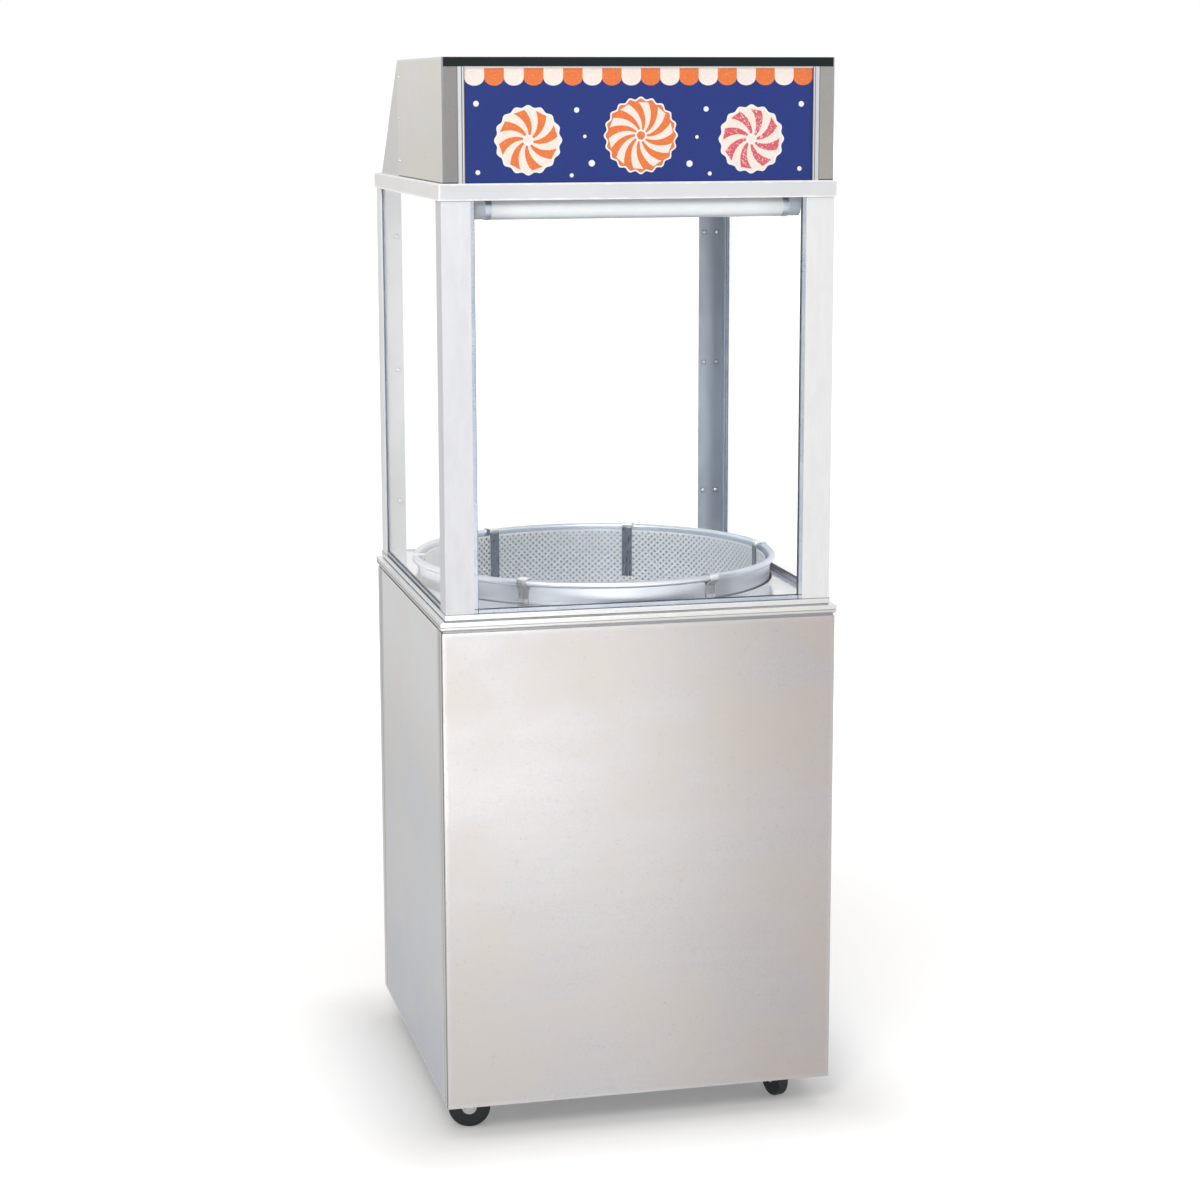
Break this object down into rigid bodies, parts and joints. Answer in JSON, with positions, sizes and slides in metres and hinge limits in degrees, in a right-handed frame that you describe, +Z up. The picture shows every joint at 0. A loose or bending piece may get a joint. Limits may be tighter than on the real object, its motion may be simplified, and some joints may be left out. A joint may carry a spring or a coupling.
{
  "type": "candy floss machine",
  "caption": "Candy floss machine: stainless cabinet on casters with rear door and controls, glazed case over a round pan with a spinning head, and a sign header.",
  "frame": {"origin": "on the floor under the centre of the cabinet", "axes": "+Z up, -Y towards the customer and the glazed front, +X to the customer's right"},
  "size_m": [0.717, 0.7309, 1.9029],
  "materials": {
    "panel_steel": "brushed",
    "side_steel": "brushed",
    "folded_steel": "brushed",
    "ledge_steel": "brushed",
    "deck_steel": "polished",
    "post_aluminium": "satin anodised",
    "channel_aluminium": "satin anodised",
    "case_top_paint": "satin",
    "header_paint": "satin",
    "strip_paint": "satin",
    "sign_sheet": "printed, gloss",
    "clear_glass": "polished",
    "lamp_glass": "white powder coat inside",
    "lamp_plastic": "moulded",
    "pan_aluminium": "spun, satin",
    "net_aluminium": "expanded",
    "spring_steel": "bright",
    "motor_paint": "gloss",
    "black_rubber": "moulded",
    "tyre_rubber": "moulded",
    "insulator": "moulded",
    "ground_steel": "ground",
    "ring_brass": "turned",
    "head_aluminium": "turned",
    "heater_steel": "heat stained",
    "zinc_steel": "zinc plated",
    "ballast_paint": "enamel",
    "switch_black": "moulded",
    "switch_red": "moulded",
    "knob_black": "moulded",
    "pilot_amber": "translucent",
    "gland_black": "moulded",
    "chrome_plate": "plated"
  },
  "bodies": {
    "cabinet": {"front_panel": "panel_steel", "left_side_panel": "side_steel", "right_side_panel": "side_steel", "corner_uprights": "folded_steel", "floor_pan": "folded_steel", "machine_shelf": "folded_steel", "ledge_moulding": "ledge_steel", "base_rail": "ledge_steel", "deck": "deck_steel", "post_front_left": "post_aluminium", "post_front_right": "post_aluminium", "post_rear_left": "post_aluminium", "post_rear_right": "post_aluminium", "glass_front": "clear_glass", "glass_left": "clear_glass", "glass_right": "clear_glass", "glass_channels": "channel_aluminium", "case_top": "case_top_paint", "lamp_tube": "lamp_glass", "lamp_holders": "lamp_plastic", "lamp_ballast": "ballast_paint", "header_shell": "header_paint", "header_rear_cover": "header_paint", "header_strip": "strip_paint", "sign_panel": "sign_sheet", "sign_mouldings": "channel_aluminium", "pan": "pan_aluminium", "pan_net": "net_aluminium", "net_clips": "spring_steel", "motor": "motor_paint", "motor_isolators": "black_rubber", "brush_holder": "insulator", "caster_plates": "zinc_steel", "hinge_frame_leaves": "folded_steel", "control_panel": "panel_steel", "switch_housings": "switch_black", "heat_control": "insulator", "pilot_lamp": "pilot_amber", "cord_gland": "gland_black"},
    "spinner": {"spinner_shaft": "ground_steel", "slip_rings": "ring_brass", "head_bowl": "head_aluminium", "head_cap": "head_aluminium", "heater_band": "heater_steel"},
    "rear_door": {"rear_door": "panel_steel", "hinge_door_leaves": "folded_steel"},
    "door_latch": {"door_latch": "chrome_plate"},
    "motor_switch": {"motor_switch": "switch_black"},
    "heat_switch": {"heat_switch": "switch_red"},
    "light_switch": {"light_switch": "switch_black"},
    "heat_knob": {"heat_knob": "knob_black"},
    "caster_front_left": {"caster_front_left_fork": "zinc_steel"},
    "wheel_front_left": {"caster_front_left_wheel": "tyre_rubber"},
    "caster_front_right": {"caster_front_right_fork": "zinc_steel"},
    "wheel_front_right": {"caster_front_right_wheel": "tyre_rubber"},
    "caster_rear_left": {"caster_rear_left_fork": "zinc_steel"},
    "wheel_rear_left": {"caster_rear_left_wheel": "tyre_rubber"},
    "caster_rear_right": {"caster_rear_right_fork": "zinc_steel"},
    "wheel_rear_right": {"caster_rear_right_wheel": "tyre_rubber"}
  },
  "joints": [
    {"name": "caster_front_left_swivel", "type": "hinge", "parent": "cabinet", "child": "caster_front_left", "pos_m": [-0.283, -0.29, 0.092], "axis": [0, 0, 1], "continuous": true},
    {"name": "wheel_front_left_roll", "type": "hinge", "parent": "caster_front_left", "child": "wheel_front_left", "pos_m": [-0.3046, -0.2858, 0.0381], "axis": [-0.1908, -0.9816, 0], "continuous": true},
    {"name": "caster_front_right_swivel", "type": "hinge", "parent": "cabinet", "child": "caster_front_right", "pos_m": [0.283, -0.29, 0.092], "axis": [0, 0, 1], "continuous": true},
    {"name": "wheel_front_right_roll", "type": "hinge", "parent": "caster_front_right", "child": "wheel_front_right", "pos_m": [0.27918, -0.26833, 0.0381], "axis": [-0.9848, -0.1736, 0], "continuous": true},
    {"name": "caster_rear_left_swivel", "type": "hinge", "parent": "cabinet", "child": "caster_rear_left", "pos_m": [-0.283, 0.29, 0.092], "axis": [0, 0, 1], "continuous": true},
    {"name": "wheel_rear_left_roll", "type": "hinge", "parent": "caster_rear_left", "child": "wheel_rear_left", "pos_m": [-0.272, 0.30905, 0.0381], "axis": [-0.866, 0.5, 0], "continuous": true},
    {"name": "caster_rear_right_swivel", "type": "hinge", "parent": "cabinet", "child": "caster_rear_right", "pos_m": [0.283, 0.29, 0.092], "axis": [0, 0, 1], "continuous": true},
    {"name": "wheel_rear_right_roll", "type": "hinge", "parent": "caster_rear_right", "child": "wheel_rear_right", "pos_m": [0.26828, 0.30635, 0.0381], "axis": [-0.7431, -0.6691, 0], "continuous": true},
    {"name": "spinner_spin", "type": "hinge", "parent": "cabinet", "child": "spinner", "pos_m": [0, 0, 0.8596], "axis": [0, 0, 1], "continuous": true},
    {"name": "rear_door_hinge", "type": "hinge", "parent": "cabinet", "child": "rear_door", "pos_m": [0.3042, 0.3598, 0.354], "axis": [0, 0, -1], "range_deg": [0, 120]},
    {"name": "door_latch_turn", "type": "hinge", "parent": "rear_door", "child": "door_latch", "pos_m": [-0.2796, 0.3556, 0.354], "axis": [0, 1, 0], "range_deg": [0, 90]},
    {"name": "motor_switch_rock", "type": "hinge", "parent": "cabinet", "child": "motor_switch", "pos_m": [0.16, 0.353, 0.726], "axis": [1, 0, 0], "range_deg": [-20, 0]},
    {"name": "heat_switch_rock", "type": "hinge", "parent": "cabinet", "child": "heat_switch", "pos_m": [0.105, 0.353, 0.726], "axis": [1, 0, 0], "range_deg": [-20, 0]},
    {"name": "light_switch_rock", "type": "hinge", "parent": "cabinet", "child": "light_switch", "pos_m": [0.05, 0.353, 0.726], "axis": [1, 0, 0], "range_deg": [-20, 0]},
    {"name": "heat_knob_turn", "type": "hinge", "parent": "cabinet", "child": "heat_knob", "pos_m": [-0.04, 0.3556, 0.726], "axis": [0, -1, 0], "range_deg": [0, 270]}
  ]
}
